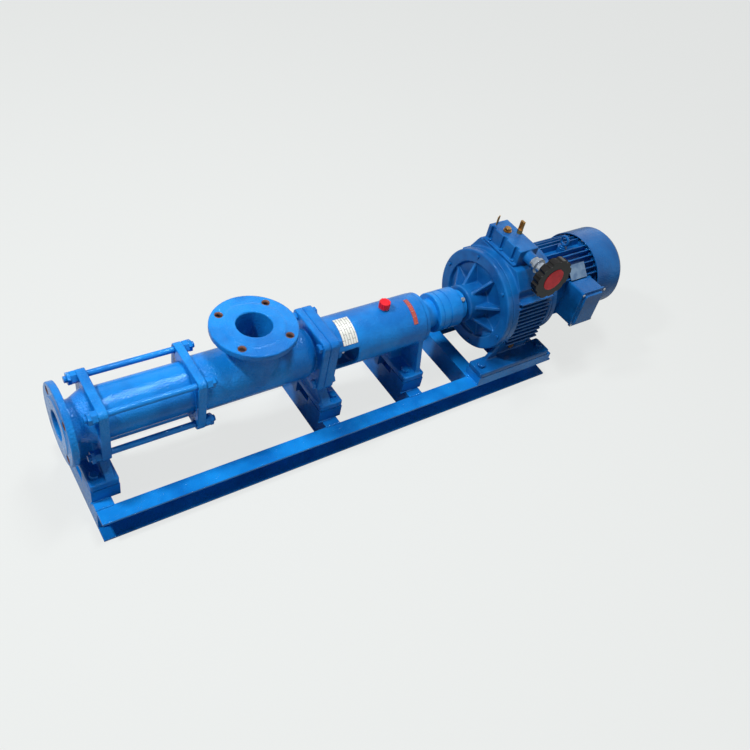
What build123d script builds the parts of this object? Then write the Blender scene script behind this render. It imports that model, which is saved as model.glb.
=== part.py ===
# Progressive cavity pump set: single-screw pump, coupling, stepless speed variator and motor on a welded base.
# Millimetres, +Z up. The origin is the centre of the discharge flange's face, on the pump axis, and +X runs
# along the shaft line towards the motor.
import math
import os

from build123d import *

os.makedirs("parts", exist_ok=True)

# ---------------------------------------------------------------- driving dimensions
fit_gap = 0.05          # radial running clearance of a shaft in its bore
seat_gap = 0.3          # gap kept between pieces that do not touch but move past each other

axis_height = 236.0     # pump axis above the floor

# discharge end
dis_flange_r = 90.0
dis_flange_t = 17.0
dis_bore_r = 32.5
dis_pcd = 145.0
dis_raised_r = 61.0
raised_face_h = 2.0
flange_bolt_r = 9.0
flange_bolt_count = 4
dis_neck_r = 46.0
dis_neck_end = 34.0     # station where the cone starts
body_wall = 9.0

# stator and tie rods
plate_half = 73.0       # half the side of the square tie plates
plate_t = 20.0
plate_corner_r = 14.0
plate1_x = 63.0         # station of the first tie plate's left face
stator_len = 187.0
stator_r = 57.0
stator_wall = 6.0
stator_seat = 4.0       # depth that the stator tube enters each plate
tie_half = 59.0         # half the spacing of the tie rods
tie_rod_r = 7.0
tie_hole_gap = 1.0
nut_af = 24.0
nut_t = 12.0
tie_stub = 6.0          # rod thread that shows past the nuts

# rotor and cavity
rotor_r = 20.0
eccentricity = 6.0
rotor_pitch = 62.0
rotor_clearance = 0.6
rotor_head_len = 46.0
rotor_head_r = 21.0

# suction body
suc_x = 427.0           # station of the suction flange axis
suc_face_h = 131.0      # height of the suction face above the pump axis
suc_flange_r = 97.5
suc_flange_t = 18.0
suc_bore_r = 40.0
suc_pcd = 160.0
suc_raised_r = 68.0
suc_body_r = 62.0
suc_neck_r = 52.0
square_x = 570.0        # station of the suction body's square flange
square_half = 74.0
square_t = 18.0
bracket_flange_t = 25.0
square_bolt_half = 58.0
dome_len = 34.0

# bearing bracket
bracket_r = 65.0
lantern_len = 74.0
lantern_wall = 10.0
window_low = -34.0
window_high = 24.0
bracket_len = 295.0     # from the square joint to the bracket's right end
bearing_r = 45.0
bearing_t = 23.0
bearing_shaft_r = 20.0
bearing_web_t = 14.0
cover_t = 12.0
cover_spigot = 11.0

# shafts and coupling
shaft_r = 17.5
packing_r = 27.0
packing_len = 34.0
coupling_r = 52.0
coupling_hub_r = 38.0
hub_len = 37.0
half_len = 33.0
spider_t = 5.0
drive_half_len = 37.0
neck_r = 40.0
neck_len = 22.0
cover_run_gap = 2.5     # running gap between rotating and standing faces along the shaft
rod_r = 11.0
joint_socket_len = 44.0

# variator
disc_r = 136.5
cover_hub_r = 50.0
cover_hub_len = 50.0
disc_t = 18.0
band_t = 22.0
recess_r = 104.0
recess_depth = 9.0
rib_count = 8
rib_t = 9.0
cover_screw_count = 6
cover_screw_pcd = 246.0
output_shaft_r = 19.0
housing_len = 118.0
rear_flange_t = 12.0
housing_half = 104.0
housing_fin_reach = 24.0
housing_fin_t = 5.0
housing_fin_count = 11
foot_half = 147.0
foot_width = 56.0
foot_slab_t = 16.0
variator_foot_len = 250.0

# control box and handwheel
box_len_y = 128.0
box_width = 62.0
box_height = 46.0
box_flange_t = 7.0
box_flange_lip = 8.0
sleeve_r = 16.0
sleeve_len = 24.0
wheel_r = 58.0
wheel_t = 20.0
wheel_lobes = 12
wheel_hub_r = 15.0
wheel_shaft_r = 8.0
wheel_reach = 144.0     # distance from the shaft line to the middle of the handwheel

# motor
motor_flange_r = 125.0
motor_flange_t = 14.0
motor_r = 86.0
motor_fin_r = 104.0
motor_fin_count = 40
motor_fin_t = 3.0
motor_len = 178.0
rear_shield_t = 12.0
cowl_r = 110.0
cowl_len = 108.0
cowl_t = 2.5
cowl_overlap = 16.0
motor_shaft_r = 14.0
fan_r = 88.0
fan_blades = 7
term_len = 80.0
term_height = 114.0
term_reach = 152.0
term_lid_t = 12.0
term_back_gap = 108.0   # from the terminal box's near side to the frame's rear end
eyebolt_back = 88.0

# base
rail_x = 30.0           # station of the base's left end
rail_len = 1285.0
base_half = 147.0
rail_h = 63.0
rail_flange = 40.0
rail_t = 4.8
rail_hole_r = 7.5
pad_h = 35.0
pad_width = 62.0
foot_slab_h = 18.0
pump_foot_half = 86.0
foot3_reach = 10.0      # how far the rear foot stands past the bracket's end
bed_h = 25.0
bed_len = 262.0

# ---------------------------------------------------------------- worked-out stations
floor_z = -axis_height
rail_top = floor_z + rail_h
pad_top = rail_top + pad_h
foot_top = pad_top + foot_slab_h
plate1_end = plate1_x + plate_t
plate2_x = plate1_end + stator_len
plate2_end = plate2_x + plate_t
bracket_x = square_x + square_t
lantern_x = bracket_x + bracket_flange_t
lantern_end = lantern_x + lantern_len
bracket_end = bracket_x + bracket_len
cover_end = bracket_end + cover_t
coupling_x = cover_end + cover_run_gap
drum_x = coupling_x + hub_len
spider_x = drum_x + half_len
drive_half_x = spider_x + spider_t
neck_x = drive_half_x + drive_half_len
coupling_end = neck_x + neck_len
cover_hub_x = coupling_end + cover_run_gap
disc_x = cover_hub_x + cover_hub_len
band_end = disc_x + disc_t + band_t
housing_end = band_end + housing_len
motor_flange_x = housing_end + rear_flange_t
motor_x = motor_flange_x + motor_flange_t
motor_end = motor_x + motor_len
shield_end = motor_end + rear_shield_t
cowl_x = shield_end - cowl_overlap
cowl_end = cowl_x + cowl_len
bed_x = disc_x - 40.0
bed_top = rail_top + bed_h
variator_foot_top = bed_top + foot_slab_t
rotor_x = plate1_x + 4.0
rotor_end = plate2_end + 8.0
rotor_head_end = rotor_end + rotor_head_len
shaft_head_x = square_x - 42.0
shaft_head_end = shaft_head_x + joint_socket_len


def ring(x, length, outer, inner):
    """A plain ring or tube about the shaft line."""
    with BuildPart() as made:
        with BuildSketch(Plane.YZ.offset(x)):
            Circle(outer)
            if inner > 0:
                Circle(inner, mode=Mode.SUBTRACT)
        extrude(amount=length)
    return made.part


def turned(outline):
    """A body turned about the shaft line from (x, radius) points."""
    with BuildPart() as made:
        with BuildSketch(Plane.XZ):
            with BuildLine():
                Polyline(*outline, close=True)
            make_face()
        revolve(axis=Axis.X)
    return made.part


def hex_stack(x, direction, thicknesses, across_flats, bore):
    """Hexagon nuts one on another, growing from station x in the direction given, on the shaft line."""
    with BuildPart() as made:
        start = x
        for index, thickness in enumerate(thicknesses):
            with BuildSketch(Plane.YZ.offset(start)):
                RegularPolygon(radius=across_flats / math.sqrt(3), side_count=6, rotation=30 * index)
                if bore > 0:
                    Circle(bore, mode=Mode.SUBTRACT)
            extrude(amount=direction * thickness)
            start += direction * thickness
    return made.part


def hex_screw(head_af, head_t, shank_r, shank_len):
    """A hexagon screw, head above the XY plane and shank below it."""
    with BuildPart() as made:
        with BuildSketch(Plane.XY):
            RegularPolygon(radius=head_af / math.sqrt(3), side_count=6)
        extrude(amount=head_t)
        chamfer(made.faces().sort_by(Axis.Z)[-1].edges(), head_t * 0.16)
        with BuildSketch(Plane.XY):
            Circle(shank_r)
        extrude(amount=-shank_len)
    return made.part


def channel(length, height, flange, thickness):
    """A rolled channel along X, its back on the XZ plane and its open side towards -Y."""
    with BuildPart() as made:
        with BuildSketch(Plane.YZ):
            with BuildLine():
                Polyline(
                    (0, 0), (-flange, 0), (-flange, thickness), (-thickness, thickness * 1.5),
                    (-thickness, height - thickness * 1.5), (-flange, height - thickness),
                    (-flange, height), (0, height), close=True)
            make_face()
        extrude(amount=length)
    return made.part


def square_points(half):
    """The four corners of a square about the shaft line, as (y, z)."""
    return [(half, half), (-half, half), (-half, -half), (half, -half)]


# ---------------------------------------------------------------- base
rail = channel(rail_len, rail_h, rail_flange, rail_t)
rail_web_y = base_half - rail_flange
rail_hole_x = rail_x + 194.0
with BuildPart() as base_rails:
    with Locations((rail_x, -rail_web_y, floor_z)):
        add(rail)
    mirror(about=Plane.XZ)
    with BuildSketch(Plane.XZ):
        with Locations((rail_hole_x, floor_z + rail_h / 2)):
            Circle(rail_hole_r)
    extrude(amount=base_half, both=True, mode=Mode.SUBTRACT)
base_rails.part.label = "base_rails"
export_step(base_rails.part, "parts/base_rails.step")

foot1_x = plate1_x - 34.0
foot2_x = bracket_x - 6.0
foot3_x = bracket_end - pad_width + foot3_reach
member_stations = [rail_x, foot2_x + 10.0, foot3_x + 14.0, bed_x - 8.0, rail_x + rail_len - rail_flange]
member = Rot(0, 0, 90) * channel(2 * rail_web_y, rail_h, rail_flange, rail_t)
with BuildPart() as cross_members:
    with Locations([(x, -rail_web_y, floor_z) for x in member_stations]):
        add(member)
cross_members.part.label = "cross_members"
export_step(cross_members.part, "parts/cross_members.step")

foot_stations = [foot1_x, foot2_x, foot3_x]
pad_depth = 58.0
pad_y = pump_foot_half - pad_depth / 2
with BuildPart() as support_pads:
    with Locations([(x + pad_width / 2, side * pad_y, rail_top + pad_h / 2) for x in foot_stations for side in (-1, 1)]):
        Box(pad_width, pad_depth, pad_h)
support_pads.part.label = "support_pads"
export_step(support_pads.part, "parts/support_pads.step")

bed_y = foot_half - foot_width / 2
with BuildPart() as drive_bed:
    with Locations([(bed_x + bed_len / 2, side * bed_y, rail_top + bed_h / 2) for side in (-1, 1)]):
        Box(bed_len, foot_width, bed_h)
drive_bed.part.label = "drive_bed"
export_step(drive_bed.part, "parts/drive_bed.step")

# ---------------------------------------------------------------- discharge end
foot_screw_y = pump_foot_half - 26.0
foot_screw_r = 6.0
web_waist = 46.0        # half width of the feet's upright plates at their narrowest
dis_cone_r = stator_r + 3.0
dis_inner_r = stator_r - stator_wall - 2.0
with BuildPart() as discharge_body:
    with BuildSketch(Plane.XZ):
        with BuildLine():
            Polyline(
                (0, 0), (0, dis_raised_r), (raised_face_h, dis_raised_r), (raised_face_h, dis_flange_r),
                (dis_flange_t, dis_flange_r), (dis_flange_t, dis_neck_r), (dis_neck_end, dis_neck_r),
                (plate1_x, dis_cone_r), (plate1_end, dis_cone_r), (plate1_end, 0), close=True)
        make_face()
    revolve(axis=Axis.X)
    with BuildSketch(Plane.YZ.offset(plate1_x)):
        RectangleRounded(2 * plate_half, 2 * plate_half, plate_corner_r)
        with BuildLine():
            Polyline((-web_waist, 0), (-web_waist, foot_top + 34), (-pump_foot_half, foot_top),
                     (pump_foot_half, foot_top), (web_waist, foot_top + 34), (web_waist, 0), close=True)
        make_face()
    extrude(amount=plate_t)
    with BuildSketch(Plane.XY.offset(pad_top)):
        with Locations((foot1_x + pad_width / 2, 0)):
            RectangleRounded(pad_width, 2 * pump_foot_half, 5)
        with Locations([(foot1_x + 17, side * foot_screw_y) for side in (-1, 1)]):
            Circle(foot_screw_r + 1, mode=Mode.SUBTRACT)
    extrude(amount=foot_slab_h)
    with BuildSketch(Plane.XZ):
        with BuildLine():
            Polyline((foot1_x + 6, foot_top), (plate1_x, foot_top), (plate1_x, -dis_neck_r + 6),
                     (dis_neck_end, -dis_neck_r + 6), close=True)
        make_face()
    extrude(amount=rib_t, both=True)
    with BuildSketch(Plane.XZ):
        with BuildLine():
            Polyline((0, 0), (0, dis_bore_r), (dis_neck_end, dis_bore_r), (plate1_x, dis_inner_r),
                     (plate1_end - stator_seat, dis_inner_r), (plate1_end - stator_seat, stator_r),
                     (plate1_end, stator_r), (plate1_end, 0), close=True)
        make_face()
    revolve(axis=Axis.X, mode=Mode.SUBTRACT)
    with BuildSketch(Plane.YZ):
        with PolarLocations(dis_pcd / 2, flange_bolt_count, start_angle=45):
            Circle(flange_bolt_r)
    extrude(amount=dis_flange_t, mode=Mode.SUBTRACT)
    with BuildSketch(Plane.YZ.offset(plate1_x)):
        with Locations(square_points(tie_half)):
            Circle(tie_rod_r + tie_hole_gap)
    extrude(amount=plate_t, mode=Mode.SUBTRACT)
discharge_body.part.label = "discharge_body"
export_step(discharge_body.part, "parts/discharge_body.step")

# ---------------------------------------------------------------- stator, tie rods and rotor
stator_x = plate1_end - stator_seat
stator_full = stator_len + 2 * stator_seat
with BuildPart() as stator_tube:
    add(ring(stator_x, stator_full, stator_r, stator_r - stator_wall))
stator_tube.part.label = "stator_tube"
export_step(stator_tube.part, "parts/stator_tube.step")

# The cavity is a slot turned through half the rotor's twist, so its lead is twice the rotor's pitch.
cavity_r = rotor_r + rotor_clearance
cavity_start = 90.0 + 180.0 * (stator_x - rotor_x) / rotor_pitch
with BuildSketch(Plane.YZ.offset(stator_x)) as cavity_slot:
    SlotOverall(4 * eccentricity + 2 * cavity_r, 2 * cavity_r, rotation=cavity_start)
cavity = Solid.extrude_linear_with_rotation(
    cavity_slot.sketch.faces()[0], (stator_x, 0, 0), (stator_full, 0, 0), 180.0 * stator_full / rotor_pitch)
with BuildPart() as stator_lining:
    add(ring(stator_x, stator_full, stator_r - stator_wall, 0))
    add(cavity, mode=Mode.SUBTRACT)
stator_lining.part.label = "stator_lining"
export_step(stator_lining.part, "parts/stator_lining.step")

# The rotor is a circle set off its own axis and twisted once for each pitch.
rotor_len = rotor_end - rotor_x
rotor_axis = Axis((0, 0, eccentricity), (1, 0, 0))
with BuildSketch(Plane.YZ.offset(rotor_x)) as rotor_circle:
    with Locations((0, 2 * eccentricity)):
        Circle(rotor_r)
rotor_screw = Solid.extrude_linear_with_rotation(
    rotor_circle.sketch.faces()[0], (rotor_x, 0, eccentricity), (rotor_len, 0, 0), 360.0 * rotor_len / rotor_pitch)
joint_pin_r = 5.0
joint_bore_r = rod_r + 4.0
joint_pin_gap = 0.7
head_pin_x = rotor_head_end - 18.0
shaft_pin_x = shaft_head_x + 18.0
with BuildPart() as rotor:
    add(rotor_screw)
    with Locations((rotor_end, 0, eccentricity)):
        add(ring(0, rotor_head_len, rotor_head_r, 0))
    with Locations((head_pin_x - 10, 0, eccentricity)):
        add(ring(0, rotor_head_len, joint_bore_r, 0), mode=Mode.SUBTRACT)
    with Locations((head_pin_x, 0, eccentricity)):
        Cylinder(joint_pin_r, 3 * rotor_head_r, rotation=(90, 0, 0), mode=Mode.SUBTRACT)
rotor.part.label = "rotor"
export_step(rotor.part, "parts/rotor.step")

with BuildPart() as rotor_joint_pin:
    with Locations((head_pin_x, 0, eccentricity)):
        Cylinder(joint_pin_r, 2 * rotor_head_r - 3, rotation=(90, 0, 0))
rotor_joint_pin.part.label = "rotor_joint_pin"
export_step(rotor_joint_pin.part, "parts/rotor_joint_pin.step")

boot_t = 5.0
boot_len = 36.0
with BuildPart() as joint_boot:
    with Locations((rotor_head_end - boot_len, 0, eccentricity)):
        add(ring(0, boot_len, rotor_head_r + seat_gap + boot_t, rotor_head_r + seat_gap))
joint_boot.part.label = "joint_boot"
export_step(joint_boot.part, "parts/joint_boot.step")

rod_span = shaft_pin_x - head_pin_x
rod_tilt = math.degrees(math.atan2(eccentricity, rod_span))
rod_len = math.hypot(rod_span, eccentricity)
rod_end = 8.0
rod_plane = Plane(origin=(head_pin_x, 0, eccentricity), x_dir=(0, 1, 0), z_dir=(rod_span, 0, -eccentricity))
with BuildPart() as connecting_rod:
    with BuildSketch(rod_plane.offset(-rod_end)):
        Circle(rod_r)
    extrude(amount=rod_len + 2 * rod_end)
    with Locations((head_pin_x, 0, eccentricity), (shaft_pin_x, 0, 0)):
        Cylinder(joint_pin_r + joint_pin_gap, 3 * rod_r, rotation=(90, 0, 0), mode=Mode.SUBTRACT)
connecting_rod.part.label = "connecting_rod"
export_step(connecting_rod.part, "parts/connecting_rod.step")

tie_nuts_t = [nut_t, nut_t * 0.6]
tie_reach = sum(tie_nuts_t) + tie_stub
with BuildPart() as tie_rods:
    with Locations([(0, y, z) for y, z in square_points(tie_half)]):
        add(ring(plate1_x - tie_reach, plate2_end - plate1_x + 2 * tie_reach, tie_rod_r, 0))
tie_rods.part.label = "tie_rods"
export_step(tie_rods.part, "parts/tie_rods.step")

left_nuts = hex_stack(plate1_x, -1, tie_nuts_t, nut_af, tie_rod_r)
right_nuts = hex_stack(plate2_end, 1, tie_nuts_t, nut_af, tie_rod_r)
with BuildPart() as tie_rod_nuts:
    with Locations([(0, y, z) for y, z in square_points(tie_half)]):
        add(left_nuts)
        add(right_nuts)
tie_rod_nuts.part.label = "tie_rod_nuts"
export_step(tie_rod_nuts.part, "parts/tie_rod_nuts.step")

# ---------------------------------------------------------------- suction body
suc_inner_r = suc_body_r - body_wall
suc_end_r = suc_neck_r
with BuildPart() as suction_body:
    with BuildSketch(Plane.XZ):
        with BuildLine():
            Line((plate2_x, 0), (plate2_x, suc_body_r))
            Line((plate2_x, suc_body_r), (square_x - dome_len, suc_body_r))
            ThreePointArc((square_x - dome_len, suc_body_r),
                          (square_x - dome_len * 0.3, suc_body_r - 4),
                          (square_x - 2, suc_end_r))
            Line((square_x - 2, suc_end_r), (square_x + square_t, suc_end_r))
            Line((square_x + square_t, suc_end_r), (square_x + square_t, 0))
            Line((square_x + square_t, 0), (plate2_x, 0))
        make_face()
    revolve(axis=Axis.X)
    with BuildSketch(Plane.YZ.offset(plate2_x)):
        RectangleRounded(2 * plate_half, 2 * plate_half, plate_corner_r)
    extrude(amount=plate_t)
    with BuildSketch(Plane.YZ.offset(square_x)):
        RectangleRounded(2 * square_half, 2 * square_half, plate_corner_r)
    extrude(amount=square_t)
    with BuildSketch(Plane.XY):
        with Locations((suc_x, 0)):
            Circle(suc_neck_r + 12)
    extrude(amount=suc_face_h - suc_flange_t, taper=5)
    with BuildSketch(Plane.XY.offset(suc_face_h - suc_flange_t)):
        with Locations((suc_x, 0)):
            Circle(suc_flange_r)
    extrude(amount=suc_flange_t - raised_face_h)
    with BuildSketch(Plane.XY.offset(suc_face_h - raised_face_h)):
        with Locations((suc_x, 0)):
            Circle(suc_raised_r)
    extrude(amount=raised_face_h)
    with BuildSketch(Plane.YZ.offset(plate2_end)):
        Circle(suc_inner_r)
    extrude(amount=square_x - dome_len - plate2_end, mode=Mode.SUBTRACT)
    with BuildSketch(Plane.YZ.offset(plate2_x)):
        Circle(dis_inner_r)
    extrude(amount=square_x + square_t - plate2_x, mode=Mode.SUBTRACT)
    with BuildSketch(Plane.YZ.offset(plate2_x)):
        Circle(stator_r)
    extrude(amount=stator_seat, mode=Mode.SUBTRACT)
    with BuildSketch(Plane.XY):
        with Locations((suc_x, 0)):
            Circle(suc_bore_r)
    extrude(amount=suc_face_h, mode=Mode.SUBTRACT)
    with BuildSketch(Plane.XY.offset(suc_face_h)):
        with Locations((suc_x, 0)):
            with PolarLocations(suc_pcd / 2, flange_bolt_count, start_angle=45):
                Circle(flange_bolt_r)
    extrude(amount=-suc_flange_t, mode=Mode.SUBTRACT)
    with BuildSketch(Plane.YZ.offset(plate2_x)):
        with Locations(square_points(tie_half)):
            Circle(tie_rod_r + tie_hole_gap)
    extrude(amount=plate_t, mode=Mode.SUBTRACT)
    with BuildSketch(Plane.YZ.offset(square_x)):
        with Locations(square_points(square_bolt_half)):
            Circle(tie_rod_r)
    extrude(amount=square_t, mode=Mode.SUBTRACT)
suction_body.part.label = "suction_body"
export_step(suction_body.part, "parts/suction_body.step")

# ---------------------------------------------------------------- bearing bracket
box_bore_r = packing_r + 11.0
packing_x = bracket_x + 6.0
box_end = packing_x + packing_len
bearing_left_x = lantern_end + bearing_web_t
bearing_right_x = bracket_end - cover_spigot - bearing_t
window_mid = (window_low + window_high) / 2
foot_web_t = 14.0
foot3_web_x = bracket_end - foot_web_t
oil_cap_x = lantern_end + 92.0
cap_seat = bracket_r + 4.0
with BuildPart() as bearing_bracket:
    with BuildSketch(Plane.YZ.offset(bracket_x)):
        RectangleRounded(2 * square_half, 2 * square_half, plate_corner_r)
        with BuildLine():
            Polyline((-web_waist, 0), (-web_waist, foot_top + 34), (-pump_foot_half, foot_top),
                     (pump_foot_half, foot_top), (web_waist, foot_top + 34), (web_waist, 0), close=True)
        make_face()
    extrude(amount=bracket_flange_t)
    with BuildSketch(Plane.YZ.offset(foot3_web_x)):
        with BuildLine():
            Polyline((-bracket_r + 6, -20), (-pump_foot_half + 6, foot_top), (pump_foot_half - 6, foot_top),
                     (bracket_r - 6, -20), close=True)
        make_face()
    extrude(amount=foot_web_t)
    with BuildSketch(Plane.XY.offset(pad_top)):
        for station in (foot2_x, foot3_x):
            with Locations((station + pad_width / 2, 0)):
                RectangleRounded(pad_width, 2 * pump_foot_half, 5)
        with Locations([(foot2_x + 46, side * foot_screw_y) for side in (-1, 1)]):
            Circle(foot_screw_r + 1, mode=Mode.SUBTRACT)
        with Locations([(foot3_x + 17, side * foot_screw_y) for side in (-1, 1)]):
            Circle(foot_screw_r + 1, mode=Mode.SUBTRACT)
    extrude(amount=foot_slab_h)
    with BuildSketch(Plane.XZ):
        with BuildLine():
            Polyline((foot3_x + 6, foot_top), (foot3_web_x, foot_top), (foot3_web_x, -bracket_r + 5),
                     (foot3_x + 6, -bracket_r + 5), close=True)
        make_face()
    extrude(amount=foot_web_t / 2, both=True)
    with BuildSketch(Plane.XZ):
        with BuildLine():
            Polyline((lantern_x, foot_top), (foot2_x + pad_width - 6, foot_top), (lantern_x + 14, -bracket_r + 5),
                     (lantern_x, -bracket_r + 5), close=True)
        make_face()
    extrude(amount=foot_web_t / 2, both=True)
    with BuildSketch(Plane.YZ.offset(lantern_x)):
        Circle(bracket_r)
    extrude(amount=bracket_end - lantern_x)
    with BuildSketch(Plane.XY.offset(cap_seat)):
        with Locations((oil_cap_x, 0)):
            Circle(11)
    extrude(amount=-14)
    with BuildSketch(Plane.YZ.offset(bracket_x)):
        Circle(bracket_r - lantern_wall)
    extrude(amount=lantern_end - bracket_x, mode=Mode.SUBTRACT)
    with BuildSketch(Plane.XZ):
        with Locations(((lantern_x + lantern_end) / 2, window_mid)):
            RectangleRounded(lantern_len - 14, window_high - window_low, 6)
    extrude(amount=2 * bracket_r, both=True, mode=Mode.SUBTRACT)
    with BuildSketch(Plane.YZ.offset(bracket_x)):
        Circle(bracket_r - lantern_wall)
        Circle(shaft_r + 1, mode=Mode.SUBTRACT)
    extrude(amount=bracket_flange_t)
    with BuildSketch(Plane.YZ.offset(bracket_x + bracket_flange_t)):
        Circle(box_bore_r)
    extrude(amount=box_end - lantern_x)
    with BuildSketch(Plane.YZ.offset(packing_x)):
        Circle(packing_r)
    extrude(amount=packing_len, mode=Mode.SUBTRACT)
    with BuildSketch(Plane.YZ.offset(bracket_x)):
        Circle(shaft_r + 1)
    extrude(amount=bracket_end - bracket_x, mode=Mode.SUBTRACT)
    with BuildSketch(Plane.YZ.offset(bearing_left_x)):
        Circle(bearing_r)
    extrude(amount=bracket_end - bearing_left_x, mode=Mode.SUBTRACT)
    with BuildSketch(Plane.YZ.offset(bracket_x)):
        with Locations(square_points(square_bolt_half)):
            Circle(tie_rod_r)
    extrude(amount=bracket_flange_t, mode=Mode.SUBTRACT)
bearing_bracket.part.label = "bearing_bracket"
export_step(bearing_bracket.part, "parts/bearing_bracket.step")

gland_gap = 7.0
gland_t = 9.0
gland_half = 46.0
stud_half = 34.0
stud_r = 4.0
gland_nose = 10.0
gland_x = box_end + gland_gap
with BuildPart() as gland_packing:
    add(ring(packing_x, packing_len - gland_nose, packing_r, shaft_r + fit_gap))
gland_packing.part.label = "gland_packing"
export_step(gland_packing.part, "parts/gland_packing.step")

with BuildPart() as gland_follower:
    with BuildSketch(Plane.YZ.offset(gland_x)):
        SlotOverall(2 * gland_half, 2 * packing_r)
        with Locations((-stud_half, 0), (stud_half, 0)):
            Circle(stud_r + 0.5, mode=Mode.SUBTRACT)
    extrude(amount=gland_t)
    with BuildSketch(Plane.YZ.offset(box_end - gland_nose)):
        Circle(packing_r - seat_gap)
    extrude(amount=gland_nose + gland_gap)
    with BuildSketch(Plane.YZ.offset(box_end - gland_nose)):
        Circle(shaft_r + 1)
    extrude(amount=gland_nose + gland_gap + gland_t, mode=Mode.SUBTRACT)
gland_follower.part.label = "gland_follower"
export_step(gland_follower.part, "parts/gland_follower.step")

gland_nut = hex_stack(gland_x + gland_t, 1, [6.0, 4.0], 13.0, 0)
with BuildPart() as gland_studs:
    with Locations([(0, side * stud_half, 0) for side in (-1, 1)]):
        add(ring(box_end, gland_x + gland_t - box_end, stud_r, 0))
        add(gland_nut)
gland_studs.part.label = "gland_studs"
export_step(gland_studs.part, "parts/gland_studs.step")

square_screw = Rot(0, -90, 0) * hex_screw(nut_af * 0.8, 8.0, tie_rod_r - 1, square_t + bracket_flange_t)
square_nut = hex_stack(lantern_x, 1, [9.0], nut_af * 0.8, tie_rod_r - 1)
with BuildPart() as bracket_bolts:
    with Locations([(square_x, y, z) for y, z in square_points(square_bolt_half)]):
        add(square_screw)
    with Locations([(0, y, z) for y, z in square_points(square_bolt_half)]):
        add(square_nut)
bracket_bolts.part.label = "bracket_bolts"
export_step(bracket_bolts.part, "parts/bracket_bolts.step")

foot_screw = hex_screw(19.0, 8.0, foot_screw_r, foot_slab_h)
foot_screw_x = [foot1_x + 17, foot2_x + 46, foot3_x + 17]
with BuildPart() as foot_bolts:
    with Locations([(x, side * foot_screw_y, foot_top) for x in foot_screw_x for side in (-1, 1)]):
        add(foot_screw)
foot_bolts.part.label = "foot_bolts"
export_step(foot_bolts.part, "parts/foot_bolts.step")

inner_race_r = 28.0
bearing_stations = (bearing_left_x, bearing_right_x)
with BuildPart() as bearing_outer_rings:
    for station in bearing_stations:
        add(ring(station, bearing_t, bearing_r, inner_race_r + seat_gap))
bearing_outer_rings.part.label = "bearing_outer_rings"
export_step(bearing_outer_rings.part, "parts/bearing_outer_rings.step")

with BuildPart() as bearing_inner_rings:
    for station in bearing_stations:
        add(ring(station, bearing_t, inner_race_r, bearing_shaft_r))
bearing_inner_rings.part.label = "bearing_inner_rings"
export_step(bearing_inner_rings.part, "parts/bearing_inner_rings.step")

seal_r = 26.0
seal_t = 8.0
cover_screw_half = 55.0
with BuildPart() as bearing_cover:
    with BuildSketch(Plane.XZ):
        with BuildLine():
            Polyline((bracket_end - cover_spigot, shaft_r + 3), (bracket_end - cover_spigot, bearing_r),
                     (bracket_end, bearing_r), (bracket_end, bracket_r - 1), (cover_end - 3, bracket_r - 1),
                     (cover_end, bracket_r - 6), (cover_end, seal_r), (cover_end - seal_t, seal_r),
                     (cover_end - seal_t, shaft_r + 3), close=True)
        make_face()
    revolve(axis=Axis.X)
    with BuildSketch(Plane.YZ.offset(cover_end)):
        with PolarLocations(cover_screw_half, 6, start_angle=30):
            Circle(3)
    extrude(amount=-cover_t, mode=Mode.SUBTRACT)
bearing_cover.part.label = "bearing_cover"
export_step(bearing_cover.part, "parts/bearing_cover.step")

with BuildPart() as shaft_seal:
    add(ring(cover_end - seal_t, seal_t, seal_r, shaft_r + fit_gap))
shaft_seal.part.label = "shaft_seal"
export_step(shaft_seal.part, "parts/shaft_seal.step")

cover_screw = hex_screw(9.0, 1.5, 3.0, cover_t)
with BuildPart() as cover_screws:
    with BuildSketch(Plane.YZ.offset(cover_end)):
        with PolarLocations(cover_screw_half, 6, start_angle=30):
            Circle(3)
    extrude(amount=-cover_t)
    with BuildSketch(Plane.YZ.offset(cover_end)):
        with PolarLocations(cover_screw_half, 6, start_angle=30):
            Circle(4)
    extrude(amount=1.5)
cover_screws.part.label = "cover_screws"
export_step(cover_screws.part, "parts/cover_screws.step")

cap_lobes = 10
with BuildPart() as oil_filler_cap:
    with BuildSketch(Plane.XY.offset(cap_seat)):
        with Locations((oil_cap_x, 0)):
            Circle(14)
            with PolarLocations(15, cap_lobes):
                Circle(2.2, mode=Mode.SUBTRACT)
    extrude(amount=17)
    fillet(oil_filler_cap.faces().sort_by(Axis.Z)[-1].edges(), 1.2)
oil_filler_cap.part.label = "oil_filler_cap"
export_step(oil_filler_cap.part, "parts/oil_filler_cap.step")


def curved_plate(x, length, radius, thickness, start_angle, sweep_angle):
    """A thin plate bent round the shaft line, angles from +Y towards +Z."""
    with BuildPart() as made:
        with BuildSketch(Plane.YZ.offset(x)):
            with BuildLine():
                outer = CenterArc((0, 0), radius + thickness, start_angle, sweep_angle)
                inner = CenterArc((0, 0), radius, start_angle, sweep_angle)
                Line(outer @ 0, inner @ 0)
                Line(outer @ 1, inner @ 1)
            make_face()
        extrude(amount=length)
    return made.part


label_t = 0.8
plate_gap = 0.2
with BuildPart() as bracket_label:
    add(curved_plate(lantern_x + 24, 40, bracket_r + plate_gap, label_t, 84, 62))
bracket_label.part.label = "bracket_label"
export_step(bracket_label.part, "parts/bracket_label.step")

with BuildPart() as warning_strip:
    add(curved_plate(bracket_end - 42, 12, bracket_r + plate_gap, label_t, 84, 62))
warning_strip.part.label = "warning_strip"
export_step(warning_strip.part, "parts/warning_strip.step")

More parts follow.
